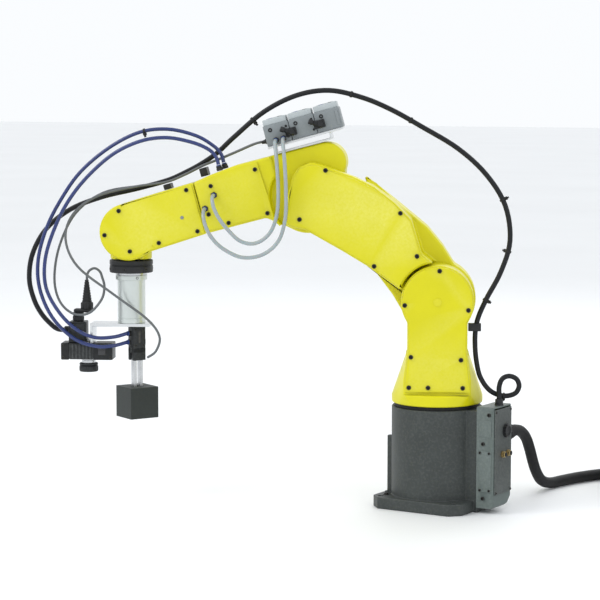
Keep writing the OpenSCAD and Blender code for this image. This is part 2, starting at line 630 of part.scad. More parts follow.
module work_block() color([0.13, 0.14, 0.13]) gripper() difference() {
    translate([-block_side / 2, -block_side / 2, block_top - block_side]) cube(block_side);
    translate([-pocket[0] / 2, -pocket[1] / 2, block_top - pocket[2]]) cube([pocket[0], pocket[1], pocket[2] + 1]);
}

// ---- drawing ----
base_casting();
connector_box();
rear_panel();
rear_connectors();
cable_gland();
robot_cable();
cable_coil();
cable_plug();
j1_motor();
j1_reducer();
j1_bearing();
dress_socket();
dress_over_j1();
turret_casting();
turret_cover();
turret_screws();
j2_motor();
j2_reducer();
turret_clip();
dress_over_j2();
upper_arm_casting();
upper_arm_cover_near();
upper_arm_cover_far();
upper_arm_screws();
j3_motor();
j3_bearing();
dress_over_j3();
elbow_housing();
elbow_cover();
elbow_screws();
valve_bracket();
valve_block();
valve_fittings();
elbow_fittings();
elbow_clip();
j4_drive();
valve_tubes();
valve_leads();
cables_over_j4();
forearm_casting();
forearm_cover_near();
forearm_cover_far();
forearm_screws();
forearm_clip();
j5_motor();
wrist_belt();
cables_over_j5();
wrist_housing();
j6_motor();
cables_over_j6();
tool_flange();
extension_tube();
camera_bracket();
vision_camera();
camera_plugs();
gripper_body();
jaw_left();
jaw_right();
work_block();
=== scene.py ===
"""Compact articulated robot arm: the visual model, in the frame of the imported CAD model."""
import math
import random

import bmesh
import bpy
from mathutils import Matrix, Vector, noise


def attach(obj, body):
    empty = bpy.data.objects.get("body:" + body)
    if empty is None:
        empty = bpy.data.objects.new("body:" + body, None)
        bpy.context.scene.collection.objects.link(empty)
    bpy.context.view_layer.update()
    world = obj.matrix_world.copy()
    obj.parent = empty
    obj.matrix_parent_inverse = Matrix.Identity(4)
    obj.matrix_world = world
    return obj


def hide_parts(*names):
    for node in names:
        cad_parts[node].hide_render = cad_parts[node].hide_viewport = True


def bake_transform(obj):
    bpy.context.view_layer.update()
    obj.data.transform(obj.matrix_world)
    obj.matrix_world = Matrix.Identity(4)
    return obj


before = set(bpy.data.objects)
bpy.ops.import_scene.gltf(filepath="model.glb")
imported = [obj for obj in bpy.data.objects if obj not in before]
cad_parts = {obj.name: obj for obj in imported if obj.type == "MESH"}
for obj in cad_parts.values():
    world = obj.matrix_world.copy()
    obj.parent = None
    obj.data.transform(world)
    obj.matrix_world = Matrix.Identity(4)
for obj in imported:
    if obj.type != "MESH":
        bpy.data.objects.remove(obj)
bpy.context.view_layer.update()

MM = 0.001
rng = random.Random(41)

# ---------------------------------------------------------------- camera
CAMERA_AT = Vector((-1.6064, 2.9893, 0.6620))
LOOKS_AT = Vector((0.1945, 0.1000, 0.3260))
camera_data = bpy.data.cameras.new("camera")
camera_data.sensor_width = 36
camera_data.lens = 129.0
camera_data.clip_end = 60
camera = bpy.data.objects.new("camera", camera_data)
camera.location = CAMERA_AT
camera.rotation_euler = (LOOKS_AT - CAMERA_AT).to_track_quat("-Z", "Y").to_euler()
bpy.context.scene.collection.objects.link(camera)
bpy.context.scene.camera = camera

# ---------------------------------------------------------------- frames of the links, in millimetres
SWING, LEAN, SLOPE, GRIP_TURN = 28.0, 51.4, 15.2, 37.0
SHOULDER_Z, UPPER_LEN, ELBOW_RISE, FORE_LEN = 330.0, 260.0, 20.0, 290.0
lean, slope = math.radians(LEAN), math.radians(SLOPE)
elbow_u = UPPER_LEN * math.sin(lean)
elbow_z = SHOULDER_Z + UPPER_LEN * math.cos(lean)
wrist_u = elbow_u + FORE_LEN * math.cos(slope) + ELBOW_RISE * math.sin(slope)
wrist_z = elbow_z - FORE_LEN * math.sin(slope) + ELBOW_RISE * math.cos(slope)


def turn(axis, degrees):
    return Matrix.Rotation(math.radians(degrees), 4, axis)


def shift(x, y, z):
    return Matrix.Translation((x, y, z))


BASE = Matrix.Identity(4)
ARM = turn("Z", SWING)
UPPER = ARM @ shift(0, 0, SHOULDER_Z) @ turn("Y", LEAN)
FORE = ARM @ shift(elbow_u, 0, elbow_z) @ turn("Y", SLOPE)
WRIST = ARM @ shift(wrist_u, 0, wrist_z)
GRIPPER = WRIST @ shift(-8, 0, 0) @ turn("Z", GRIP_TURN)
TO_METRES = Matrix.Scale(MM, 4)


# ---------------------------------------------------------------- materials
def material(name, colour, rough=0.5, metal=0.0, coat=0.0, grain=260.0, vary=0.06, bump=0.08,
             fine=1400.0, wear=None, wear_amount=0.5, transmission=0.0, dust=0.0, stretch=(1, 1, 1),
             rough_vary=0.12, subsurface=0.0, coat_rough=0.2):
    """A finish with slow colour variation, fine bump, uneven gloss and worn edges."""
    made = bpy.data.materials.new(name)
    made.use_nodes = True
    nodes, links = made.node_tree.nodes, made.node_tree.links
    shader = nodes["Principled BSDF"]
    shader.inputs["Metallic"].default_value = metal
    shader.inputs["Coat Weight"].default_value = coat
    shader.inputs["Coat Roughness"].default_value = coat_rough
    shader.inputs["Specular IOR Level"].default_value = 0.3
    shader.inputs["Transmission Weight"].default_value = transmission
    shader.inputs["Subsurface Weight"].default_value = subsurface
    shader.inputs["Subsurface Scale"].default_value = 0.004
    place = nodes.new("ShaderNodeTexCoord")
    scale = nodes.new("ShaderNodeMapping")
    scale.inputs["Scale"].default_value = stretch
    links.new(place.outputs["Object"], scale.inputs["Vector"])

    def speckle(size, detail, roughness=0.55):
        node = nodes.new("ShaderNodeTexNoise")
        node.inputs["Scale"].default_value = size
        node.inputs["Detail"].default_value = detail
        node.inputs["Roughness"].default_value = roughness
        links.new(scale.outputs["Vector"], node.inputs["Vector"])
        return node.outputs["Fac"]

    slow = speckle(grain * 0.08, 4)
    middle = speckle(grain, 3)
    small = speckle(fine, 2)
    ramp = nodes.new("ShaderNodeValToRGB")
    ramp.color_ramp.elements[0].position = 0.3
    ramp.color_ramp.elements[1].position = 0.72
    ramp.color_ramp.elements[0].color = (*[c * (1 - vary) for c in colour], 1)
    ramp.color_ramp.elements[1].color = (*[min(1.0, c * (1 + vary * 0.6)) for c in colour], 1)
    links.new(slow, ramp.inputs["Fac"])
    tint = ramp.outputs["Color"]
    if dust:
        top = nodes.new("ShaderNodeMix")
        top.data_type = "RGBA"
        facing = nodes.new("ShaderNodeMapRange")
        facing.inputs["From Min"].default_value = 0.45
        facing.inputs["From Max"].default_value = 0.75
        facing.inputs["To Max"].default_value = dust
        links.new(middle, facing.inputs["Value"])
        links.new(facing.outputs["Result"], top.inputs["Factor"])
        links.new(tint, top.inputs["A"])
        top.inputs["B"].default_value = (0.42, 0.42, 0.4, 1)
        tint = top.outputs["Result"]
    if wear:
        edge = nodes.new("ShaderNodeNewGeometry")
        near = nodes.new("ShaderNodeMapRange")
        near.inputs["From Min"].default_value = 0.53
        near.inputs["From Max"].default_value = 0.62
        near.inputs["To Max"].default_value = wear_amount
        links.new(edge.outputs["Pointiness"], near.inputs["Value"])
        broken = nodes.new("ShaderNodeMath")
        broken.operation = "MULTIPLY"
        links.new(near.outputs["Result"], broken.inputs[0])
        links.new(middle, broken.inputs[1])
        worn = nodes.new("ShaderNodeMix")
        worn.data_type = "RGBA"
        links.new(broken.outputs["Value"], worn.inputs["Factor"])
        links.new(tint, worn.inputs["A"])
        worn.inputs["B"].default_value = (*wear, 1)
        tint = worn.outputs["Result"]
    links.new(tint, shader.inputs["Base Color"])
    gloss = nodes.new("ShaderNodeMapRange")
    gloss.inputs["To Min"].default_value = max(0.03, rough - rough_vary)
    gloss.inputs["To Max"].default_value = min(1.0, rough + rough_vary)
    links.new(middle, gloss.inputs["Value"])
    links.new(gloss.outputs["Result"], shader.inputs["Roughness"])
    relief = nodes.new("ShaderNodeBump")
    relief.inputs["Strength"].default_value = bump
    relief.inputs["Distance"].default_value = 0.0006
    links.new(small, relief.inputs["Height"])
    links.new(relief.outputs["Normal"], shader.inputs["Normal"])
    return made


M = {
    "yellow": material("yellow_powder_coat", (0.67, 0.625, 0.002), 0.4, coat=0.1, vary=0.05, bump=0.16,
                       fine=1100, wear=(0.78, 0.75, 0.16), wear_amount=0.8, coat_rough=0.3),
    "yellow_cover": material("yellow_cover_paint", (0.66, 0.615, 0.002), 0.37, coat=0.12, vary=0.04, bump=0.1,
                             fine=1500, wear=(0.8, 0.77, 0.2), wear_amount=0.7, coat_rough=0.25),
    "grey": material("dark_grey_paint", (0.046, 0.053, 0.051), 0.5, vary=0.14, bump=0.3, fine=900,
                     wear=(0.2, 0.22, 0.21), wear_amount=0.7, dust=0.06),
    "pale_grey": material("grey_green_paint", (0.095, 0.12, 0.113), 0.42, vary=0.08, bump=0.16, fine=1100,
                          wear=(0.34, 0.38, 0.36), wear_amount=0.7, dust=0.04),
    "rubber": material("black_rubber", (0.007, 0.007, 0.008), 0.62, vary=0.25, bump=0.22, fine=1800,
                       dust=0.03),
    "jacket": material("cable_jacket", (0.006, 0.007, 0.009), 0.45, vary=0.25, bump=0.1, fine=2200),
    "plastic": material("black_plastic", (0.010, 0.011, 0.012), 0.45, vary=0.2, bump=0.2, fine=1500,
                        wear=(0.08, 0.08, 0.085), wear_amount=0.6),
    "screw": material("black_steel", (0.018, 0.018, 0.017), 0.34, metal=0.75, vary=0.2, bump=0.12,
                      wear=(0.25, 0.24, 0.22), wear_amount=0.6),
    "motor": material("motor_black", (0.02, 0.02, 0.022), 0.5, metal=0.3, vary=0.2, bump=0.25),
    "steel": material("turned_steel", (0.55, 0.56, 0.57), 0.28, metal=1.0, vary=0.08, bump=0.08,
                      stretch=(1, 1, 6), wear=(0.8, 0.8, 0.8)),
    "aluminium": material("brushed_aluminium", (0.66, 0.68, 0.69), 0.3, metal=0.9, vary=0.06, bump=0.12,
                          fine=2600, stretch=(0.25, 0.25, 3), wear=(0.9, 0.9, 0.9), wear_amount=0.6),
    "tube_metal": material("anodised_tube", (0.60, 0.64, 0.62), 0.36, metal=0.7, vary=0.03, bump=0.05,
                           fine=2400, rough_vary=0.05),
    "valve": material("valve_grey", (0.20, 0.225, 0.235), 0.42, vary=0.06, bump=0.12, fine=1600,
                      wear=(0.4, 0.42, 0.43), wear_amount=0.6),
    "valve_light": material("valve_cap", (0.44, 0.48, 0.49), 0.36, vary=0.05, bump=0.1, fine=1600),
    "clear": material("clear_tube", (0.33, 0.38, 0.39), 0.24, vary=0.08, bump=0.04, subsurface=0.25,
                      coat=0.4),
    "blue": material("blue_tube", (0.014, 0.03, 0.145), 0.22, vary=0.12, bump=0.03, subsurface=0.15,
                     coat=0.6, coat_rough=0.12),
    "blue_plastic": material("blue_plastic", (0.02, 0.05, 0.22), 0.35, vary=0.1, bump=0.08),
    "lead": material("lead_grey", (0.13, 0.14, 0.145), 0.45, vary=0.12, bump=0.08, fine=2200),
    "camera": material("camera_black", (0.009, 0.010, 0.011), 0.4, metal=0.35, vary=0.15, bump=0.22,
                       fine=1700, wear=(0.16, 0.17, 0.17), wear_amount=0.7),
    "glass": material("lens_glass", (0.004, 0.004, 0.008), 0.05, coat=1.0, vary=0.1, bump=0.0,
                      rough_vary=0.02, coat_rough=0.02),
    "block": material("block_plastic", (0.020, 0.025, 0.023), 0.55, vary=0.14, bump=0.3, fine=1300,
                      wear=(0.11, 0.12, 0.115), wear_amount=0.8),
    "brass": material("brass_fitting", (0.55, 0.42, 0.2), 0.3, metal=1.0, vary=0.08, bump=0.08),
    "tie": material("tie_plastic", (0.014, 0.014, 0.014), 0.5, vary=0.2, bump=0.06),
}


# ---------------------------------------------------------------- mesh helpers
def piece(name, bm, finish, body, nodes=(), matrix=BASE, smooth=38, metres=False):
    """Makes the object, lays it in the row frame and lets it ride on its body."""
    if not metres:
        bm.transform(TO_METRES @ matrix)
    bmesh.ops.recalc_face_normals(bm, faces=bm.faces)
    mesh = bpy.data.meshes.new(name)
    limit = math.radians(smooth)
    for f in bm.faces:
        f.smooth = True
    for e in bm.edges:
        e.smooth = len(e.link_faces) == 2 and e.calc_face_angle(0) < limit
    bm.to_mesh(mesh)
    bm.free()
    finishes = finish if isinstance(finish, (list, tuple)) else [finish]
    for f in finishes:
        mesh.materials.append(M[f])
    obj = bpy.data.objects.new(name, mesh)
    bpy.context.scene.collection.objects.link(obj)
    if body:
        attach(obj, body)
    if nodes:
        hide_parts(*([nodes] if isinstance(nodes, str) else nodes))
    return obj


def rounded_box(bm, lo, hi, r=1.0, segments=2, finish=0, matrix=BASE):
    made = bmesh.ops.create_cube(bm, size=1.0)
    lo, hi = Vector(lo), Vector(hi)
    for v in made["verts"]:
        v.co = matrix @ Vector([lo[i] + (v.co[i] + 0.5) * (hi[i] - lo[i]) for i in range(3)])
    edges = list({e for v in made["verts"] for e in v.link_edges})
    faces = {f for v in made["verts"] for f in v.link_faces}
    if r > 0:
        out = bmesh.ops.bevel(bm, geom=edges + made["verts"], offset=r, offset_type="OFFSET",
                              segments=segments, profile=0.5, affect="EDGES", clamp_overlap=True)
        faces = {f for v in out["verts"] for f in v.link_faces} | {f for f in faces if f.is_valid}
    for f in faces:
        f.material_index = finish


def lathe(bm, profile, at=(0, 0, 0), axis=(0, 0, 1), n=40, finish=0, matrix=BASE, ribs=0, rib=0.0):
    """A turned body: profile is (radius, height) pairs along the axis; a radius of 0 closes the end."""
    axis = Vector(axis).normalized()
    side = axis.orthogonal().normalized()
    other = axis.cross(side)
    at = Vector(at)
    rings = []
    for radius, height in profile:
        if radius <= 0:
            rings.append([bm.verts.new(matrix @ (at + axis * height))])
            continue
        ring = []
        for k in range(n):
            a = 2 * math.pi * k / n
            r = radius + (rib if ribs and (k * ribs // n) % 2 else 0.0)
            ring.append(bm.verts.new(matrix @ (at + axis * height + side * r * math.cos(a) + other * r * math.sin(a))))
        rings.append(ring)
    for a, b in zip(rings, rings[1:]):
        for k in range(n):
            quad = [a[k % len(a)], a[(k + 1) % len(a)], b[(k + 1) % len(b)], b[k % len(b)]]
            quad = list(dict.fromkeys(quad))
            if len(quad) > 2:
                bm.faces.new(quad).material_index = finish
    for ring, flip in ((rings[0], True), (rings[-1], False)):
        if len(ring) > 1:
            bm.faces.new(ring[::-1] if flip else ring).material_index = finish


def turned(r, h, c=0.8):
    """The profile of a plain bar with chamfered ends."""
    return [(r - c, 0), (r, c), (r, h - c), (r - c, h)]


def tube(bm, points, radius, n=12, finish=0, cap=True):
    """A swept round tube, its ring turned along with the path so that it never twists."""
    points = [Vector(p) for p in points]
    ahead = [(points[min(i + 1, len(points) - 1)] - points[max(i - 1, 0)]).normalized() for i in range(len(points))]
    side = ahead[0].orthogonal().normalized()
    rings = []
    for p, t in zip(points, ahead):
        side = (side - t * side.dot(t)).normalized()
        other = t.cross(side)
        rings.append([bm.verts.new(p + radius * (math.cos(2 * math.pi * k / n) * side + math.sin(2 * math.pi * k / n) * other))
                      for k in range(n)])
    for a, b in zip(rings, rings[1:]):
        for k in range(n):
            bm.faces.new([a[k], a[(k + 1) % n], b[(k + 1) % n], b[k]]).material_index = finish
    if cap:
        bm.faces.new(rings[0][::-1]).material_index = finish
        bm.faces.new(rings[-1]).material_index = finish


def softened(node, finish, body, width, segments=2, name=None, keep=0.45, angle=28, smooth=38, merge=True):
    """A copy of the CAD node whose edges are rounded; bores of small screws keep their sharp rims."""
    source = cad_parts[node].data
    bm = bmesh.new()
    bm.from_mesh(source)
    bmesh.ops.remove_doubles(bm, verts=bm.verts, dist=2e-6)
    if merge:
        bmesh.ops.dissolve_limit(bm, angle_limit=math.radians(0.6), verts=bm.verts, edges=bm.edges)
    limit = math.radians(angle)
    sharp = [e for e in bm.edges if len(e.link_faces) == 2 and e.calc_face_angle(0) > limit
             and e.calc_length() > keep * MM and min(f.calc_area() for f in e.link_faces) > 1.6e-6]
    verts = list({v for e in sharp for v in e.verts})
    bmesh.ops.bevel(bm, geom=sharp + verts, offset=width * MM, offset_type="OFFSET", segments=segments,
                    profile=0.5, affect="EDGES", clamp_overlap=False, loop_slide=True)
    for f in bm.faces:
        f.material_index = 0
    made = piece(name or node + "_body", bm, finish, body, node, smooth=smooth, metres=True)
    flat = made.modifiers.new("even_shading", "WEIGHTED_NORMAL")
    flat.keep_sharp = True
    flat.weight = 80
    return made


# ---------------------------------------------------------------- cables, along the routes of the CAD model
DRESS = [
    (-97, 52, 172.1), (-97, 52, 184), (-97, 51, 198), (-102, 50, 210), (-113, 49, 214), (-124, 47, 209),
    (-128, 46, 198), (-123, 44, 187), (-111, 42, 182), (-97, 42, 183), (-83, 43, 190), (-72, 43, 203),
    (-64, 44, 222), (-59, 44, 258), (-61, 44, 296),
    (-75, 42, 332), (-98, 39, 376), (-112, 37, 425), (-104, 34, 480), (-74, 30, 528), (-30, 26, 568),
    (27, 22, 602), (74, 19, 628), (120, 16, 647), (172, 12, 658), (224, 7, 650), (276, 1, 624),
    (324, -6, 584), (350, -9, 560), (376, -10, 542), (404, -10, 527), (432, -9, 515),
    (480, -7, 502), (535, -4, 489), (586, -3, 469), (625, -3, 438), (648, -4, 398),
    (654, -4, 358), (647, -4, 325), (635, -5, 301), (620, -6, 284), (609.5, -6, 276.5), (598.7, -6, 275)
]
LEAD_A = [
    (271, -20, 578), (290, -20, 574), (318, -20, 562), (346, -20, 550), (374, -20, 539), (402, -19, 525),
    (432, -19, 513), (477, -18, 506), (535, -17, 495), (580, -16, 462), (606, -13, 410),
    (614, -8, 358), (604, 2, 322), (580, 13, 303), (554, 15, 305), (535, 11, 326), (531, 6, 346),
    (535, 3, 361), (539, 1, 370), (547, 0, 375), (555, 0, 372), (559.5, 0, 365), (560, 0, 356.8)
]
LEAD_B = [
    (271, 3, 578), (290, 3, 574), (318, 3, 562), (346, 3, 550), (374, 3, 539), (402, 3, 525),
    (432, 4, 513), (480, 6, 506), (540, 10, 491), (578, 16, 463), (590, 22, 424),
    (570, 28, 380), (512, 31, 336), (460, 31, 298), (440, 29, 270), (446, 24, 246), (461, 14, 234)
]
AIR_A = [
    (338, 15, 545), (342, 15, 558), (354, 15, 571), (382, 14, 587), (426, 13, 597), (472, 12, 592),
    (520, 12, 568), (566, 12, 530), (598, 12, 486), (622, 12, 440), (636, 12, 390), (634, 14, 344),
    (614, 19, 299), (580, 24, 266), (544, 27, 253), (516, 22, 253), (495.6, 7.7, 257.3)
]
AIR_B = [
    (345, 27, 542), (349, 27, 554), (361, 26, 566), (388, 25, 577), (428, 24, 584), (470, 23, 578),
    (514, 22, 557), (556, 22, 520), (587, 22, 480), (609, 22, 436), (623, 22, 390), (622, 23, 346),
    (602, 25, 308), (574, 27, 280), (544, 27, 267), (515, 20, 267), (495.6, 7.7, 271.3)
]
PALE_A = [
    (254, 36.5, 580), (254, 48, 579), (253, 60, 573), (251, 69, 560), (249, 74, 540), (247, 76, 505),
    (249, 76, 468), (260, 77, 438), (282, 77, 422), (306, 77, 425), (326, 77, 443), (339, 77, 460),
    (347, 75, 475), (350.5, 70, 487), (351, 60, 493.5), (351, 47.9, 494.5)
]
PALE_B = [
    (242, 36.5, 583), (242, 48, 582), (241, 60, 577), (239, 70, 565), (237, 76, 545), (235, 78, 505),
    (236, 79, 460), (247, 79, 425), (272, 79, 404), (304, 79, 400), (334, 79, 414), (352, 78, 432),
    (361, 76, 450), (364.5, 70, 464), (365, 60, 471.5), (365, 47.9, 473)
]
MAIN = [
    (-100, -65.2, 118), (-100, -72, 118), (-100, -80, 117.6), (-100, -98, 113), (-100, -117, 100),
    (-99, -133, 80), (-98, -147, 58), (-97, -163, 37), (-96, -186, 19), (-97, -218, 10), (-103, -254, 9.2),
    (-114, -296, 9.2), (-136, -344, 9.2), (-178, -390, 9.2)
]
STEPS = 6


def blend3(a, b, c, d, t):
    return 0.5 * (2 * b + (c - a) * t + (2 * a - 5 * b + 4 * c - d) * t * t + (3 * b - a - 3 * c + d) * t ** 3)


def smooth_curve(points, steps=STEPS):
    """The same spline as in the CAD source, sampled more finely."""
    p = [Vector(q) for q in points]
    last = len(p) - 1
    line = [blend3(p[max(i - 1, 0)], p[i], p[i + 1], p[min(i + 2, last)], k / steps)
            for i in range(last) for k in range(steps)]
    return line + [p[last]]


def in_row(points, matrix=ARM):
    return [TO_METRES @ matrix @ Vector(q) for q in points]


def crossing(name, line, radius, finish, node, bodies):
    """One stretch of a cable, which runs between the two bodies that it joins; such a stretch is left on neither body.
    """
    bm = bmesh.new()
    tube(bm, line, radius * MM, n=14)
    obj = piece(name, bm, finish, None if len(bodies) == 2 else bodies[0], node, metres=True, smooth=60)
    if len(bodies) == 2:
        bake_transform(obj)
    return obj


def ties(name, line, places, radius, finish, bodies, matrix_side=(0, 0, 1)):
    """Small cable ties: a band round the cable with its square head."""
    bm = bmesh.new()
    for at in places:
        i = max(1, min(len(line) - 2, round(at)))
        p, t = line[i], (line[i + 1] - line[i - 1]).normalized()
        band = [(radius * MM, -0.0016), (radius * MM + 0.0011, -0.0016), (radius * MM + 0.0011, 0.0016), (radius * MM, 0.0016)]
        lathe(bm, band, p, t, n=20)
        side = t.cross(Vector((math.cos(at), math.sin(at), 0.4))).normalized()
        up = t.cross(side).normalized()
        seat = Matrix((side, t, up)).transposed().to_4x4()
        seat.translation = p + up * (radius * MM + 0.0018)
        rounded_box(bm, (-0.0019, -0.0024, -0.0014), (0.0019, 0.0024, 0.0018), 0.0004, 1, 0, seat)
        rounded_box(bm, (-0.0006, -0.0014, 0.001), (0.0006, 0.0014, 0.0052), 0.0003, 1, 0, seat)
    obj = piece(name, bm, finish, None if len(bodies) == 2 else bodies[0], metres=True)
    if len(bodies) == 2:
        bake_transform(obj)
    return obj


def stretch(points, first, last):
    return in_row(smooth_curve(points))[first * STEPS: last * STEPS + 1]


# name, first and last route point, bodies, node that it stands for, places of ties in route points
DRESS_RUNS = [
    ("dress_cable_1", 0, 14, ("base", "turret"), "dress_over_j1", [8.5]),
    ("dress_cable_2", 14, 20, ("turret", "upper_arm"), "dress_over_j2", [1.0, 2.6, 4.2]),
    ("dress_cable_3", 20, 29, ("upper_arm", "elbow"), "dress_over_j3", [1.4, 3.4, 6.4]),
    ("dress_cable_4", 29, 31, ("elbow", "forearm"), "cables_over_j4", []),
    ("dress_cable_5", 31, 36, ("forearm", "wrist"), "cables_over_j5", []),
    ("dress_cable_6", 36, 42, ("wrist", "tool"), "cables_over_j6", []),
]
for label, first, last, bodies, node, places in DRESS_RUNS:
    line = stretch(DRESS, first, last)
    crossing(label, line, 4, "jacket", node, bodies)
    if places:
        ties(label + "_ties", line, [STEPS * p for p in places], 4, "tie", bodies)
for label, route in (("sensor_lead_a", LEAD_A), ("sensor_lead_b", LEAD_B)):
    cuts = [0, 4, 6, 10, len(route) - 1]
    runs = [(("elbow",), "valve_leads"), (("elbow", "forearm"), "cables_over_j4"),
            (("forearm", "wrist"), "cables_over_j5"), (("wrist", "tool"), "cables_over_j6")]
    for k, (bodies, node) in enumerate(runs):
        crossing(f"{label}_{k + 1}", stretch(route, cuts[k], cuts[k + 1]), 2, "lead", node, bodies)
for label, route in (("air_tube_a", AIR_A), ("air_tube_b", AIR_B)):
    cuts = [0, 5, 9, 16]
    runs = [(("elbow", "forearm"), "cables_over_j4"), (("forearm", "wrist"), "cables_over_j5"),
            (("wrist", "tool"), "cables_over_j6")]
    for k, (bodies, node) in enumerate(runs):
        line = stretch(route, cuts[k], cuts[k + 1])
        crossing(f"{label}_{k + 1}", line, 3, "blue", node, bodies)
        if label == "air_tube_a" and k == 0:
            ties("air_tube_tie", line, [STEPS * 4.8], 3, "tie", bodies)
for label, route in (("pale_tube_a", PALE_A), ("pale_tube_b", PALE_B)):
    crossing(label, in_row(smooth_curve(route)), 3, "clear", "valve_tubes", ("elbow",))

# the connection cable: down from the gland, along the table, round the coil and into its plug on top
COIL_AT, COIL_START = Vector((-300, -330, 0)), -54.0
OUTER, INNER = 109.0, 91.0
LAYERS = [9.2, 27.2, 45.2]
# travel in degrees, radius and height of the turns; the changes lie at different places round the coil
TURNS = [(0, 116, 9.2), (25, OUTER, LAYERS[0]), (320, OUTER, LAYERS[0]), (360, INNER, LAYERS[0]), (640, INNER, LAYERS[0]),
         (680, INNER, LAYERS[1]), (960, INNER, LAYERS[1]), (1000, OUTER, LAYERS[1]), (1280, OUTER, LAYERS[1]),
         (1320, OUTER, LAYERS[2]), (1600, OUTER, LAYERS[2]), (1640, INNER, LAYERS[2]), (1860, INNER, LAYERS[2]),
         (1960, INNER + 3, 66.0), (2012, 100, 76.3)]


def ease(t):
    return t * t * (3 - 2 * t)


def coil_point(travel):
    for (t0, r0, z0), (t1, r1, z1) in zip(TURNS, TURNS[1:]):
        if travel <= t1:
            s = ease((travel - t0) / (t1 - t0))
            r, z = r0 + (r1 - r0) * s, z0 + (z1 - z0) * s
            break
    a = math.radians(COIL_START - travel)
    return COIL_AT + Vector((r * math.cos(a), r * math.sin(a), z))


coil_line = [coil_point(6 * k) for k in range(2, 2012 // 6 + 1)] + [coil_point(2012)]
approach = smooth_curve(MAIN + [tuple(coil_line[0]), tuple(coil_line[3])], 4)[:-4]
main_line = in_row(approach[:-1] + coil_line, BASE)


def round_curve(name, line, radius, finish, body, nodes):
    data = bpy.data.curves.new(name, "CURVE")
    data.dimensions = "3D"
    data.bevel_depth = radius * MM
    data.bevel_resolution = 5
    data.use_fill_caps = True
    spline = data.splines.new("POLY")
    spline.points.add(len(line) - 1)
    for point, place in zip(spline.points, line):
        point.co = (*place, 1)
    data.materials.append(M[finish])
    obj = bpy.data.objects.new(name, data)
    bpy.context.scene.collection.objects.link(obj)
    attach(obj, body)
    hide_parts(*nodes)
    return obj


main_cable = round_curve("connection_cable", main_line, 9, "rubber", "base", ("robot_cable", "cable_coil"))

PLUG = shift(-300, -330, 54.3) @ turn("Z", 68) @ shift(100, 0, 0) @ turn("Z", -90)
bm = bmesh.new()
rounded_box(bm, (-30, -21, 0.2), (26, 21, 44), 3.0, 3, 0, PLUG)
rounded_box(bm, (24, -19, 3), (39.6, 19, 41), 1.6, 2, 1, PLUG)
rounded_box(bm, (-4, -23.4, 12), (22, -20.4, 18), 1.2, 2, 1, PLUG)
rounded_box(bm, (-4, 20.4, 12), (22, 23.4, 18), 1.2, 2, 1, PLUG)
rounded_box(bm, (8, -23.2, 16), (14, 23.2, 46), 1.6, 2, 1, PLUG)
for k in range(5):
    rounded_box(bm, (-26 + 5 * k, -14, 43.4), (-23.4 + 5 * k, 14, 45), 0.6, 1, 0, PLUG)
lathe(bm, [(10.6, -12), (11.4, -10.6), (11.4, -3), (9.6, -1.6), (9.6, 2)], (-30, 0, 22), (1, 0, 0), 28, 1, PLUG, ribs=14, rib=-0.7)
connector = piece("cable_connector", bm, ["grey", "plastic"], "base", "cable_plug")

bm = bmesh.new()
for degrees in (20, 140, 260):
    seat = shift(*COIL_AT) @ turn("Z", degrees) @ shift(100, 0, 27.2)
    loop = [seat @ Vector(((19.4 if x > 0 else -19.4) * min(1, abs(x)), 0, z)) for x, z in ()]
    n = 44
    for w0, w1 in ((-3, 3),):
        outer = []
        for k in range(n):
            a = 2 * math.pi * k / n
            x = 19.6 * max(-1, min(1, 1.35 * math.cos(a)))
            z = 28.4 * max(-1, min(1, 1.28 * math.sin(a)))
            z = max(z, -27.0)
            outer.append((x, z))
        rings = [[bm.verts.new(seat @ Vector((x * s, w, z * s))) for x, z in outer] for w, s in ((w0, 1.0), (w1, 1.0), (w1, 0.965), (w0, 0.965))]
        for a, b in zip(rings, rings[1:] + rings[:1]):
            for k in range(n):
                bm.faces.new([a[k], a[(k + 1) % n], b[(k + 1) % n], b[k]])
coil_ties = piece("coil_ties", bm, "tie", "base")

# ---------------------------------------------------------------- screws and small turned parts
def cap_screws(name, node, body, matrix, rows):
    """Socket-head screws on flat faces: rows of (places, v of the face, side, head radius)."""
    bm = bmesh.new()
    for places, face, side, r in rows:
        for x, z in places:
            head = [(0, -0.4), (r, -0.4), (r, 2.0), (r - 0.55, 2.6), (r * 0.6, 2.6), (r * 0.55, 1.1), (0, 1.1)]
            lathe(bm, head, (x, face, z), (0, side, 0), 24)
    return piece(name, bm, "screw", body, node, matrix, smooth=34)


def fitting(bm, at, axis, r=5.0, length=9.0, nut=True, finish=0, collar=1):
    """A push-in tube fitting: hexagonal nut, body and release collar."""
    axis = Vector(axis).normalized()
    at = Vector(at)
    if nut:
        lathe(bm, [(r * 0.9, 0), (r * 1.08, 0.5), (r * 1.08, length * 0.42), (r * 0.9, length * 0.48)], at, axis, 6, finish)
    lathe(bm, [(r * 0.82, length * 0.3), (r * 0.9, length * 0.5), (r * 0.9, length * 0.8), (r * 0.78, length * 0.86)], at, axis, 24, finish)
    lathe(bm, [(r * 0.62, length * 0.8), (r * 0.74, length * 0.9), (r * 0.74, length), (r * 0.6, length * 1.02)], at, axis, 24, collar)


half_t, cover_t, fore_t, seam_x = 58.0, 3.8, 38.0, 168.5
TURRET_SCREWS = [(-3, 379), (51, 325), (-48, 318), (41, 244), (-37, 240), (14, 196), (-40, 196), (44, 196)]
ARM_SCREWS = [(-51, 264), (-72, 132), (-36, 70), (18, 112), (34, 248)]
ARM_FAR_SCREWS = [(0, -50), (-50, 0), (50, 6), (-68, 130), (20, 130)]
ELBOW_SCREWS = [(69, 63), (68, -8), (143, 56), (131, -7), (158, 14)]
ELBOW_FAR_SCREWS = [(-38, 62), (60, 64), (108, 64), (58, -14), (108, -6), (-44, -6), (4, -44)]
FORE_SCREWS = [(182, 60), (182, -7), (294, 56), (326, 25), (294, -10), (246, -9)]
PANEL_SCREWS = [(-98, 110), (-98, 24), (-108, 156)]

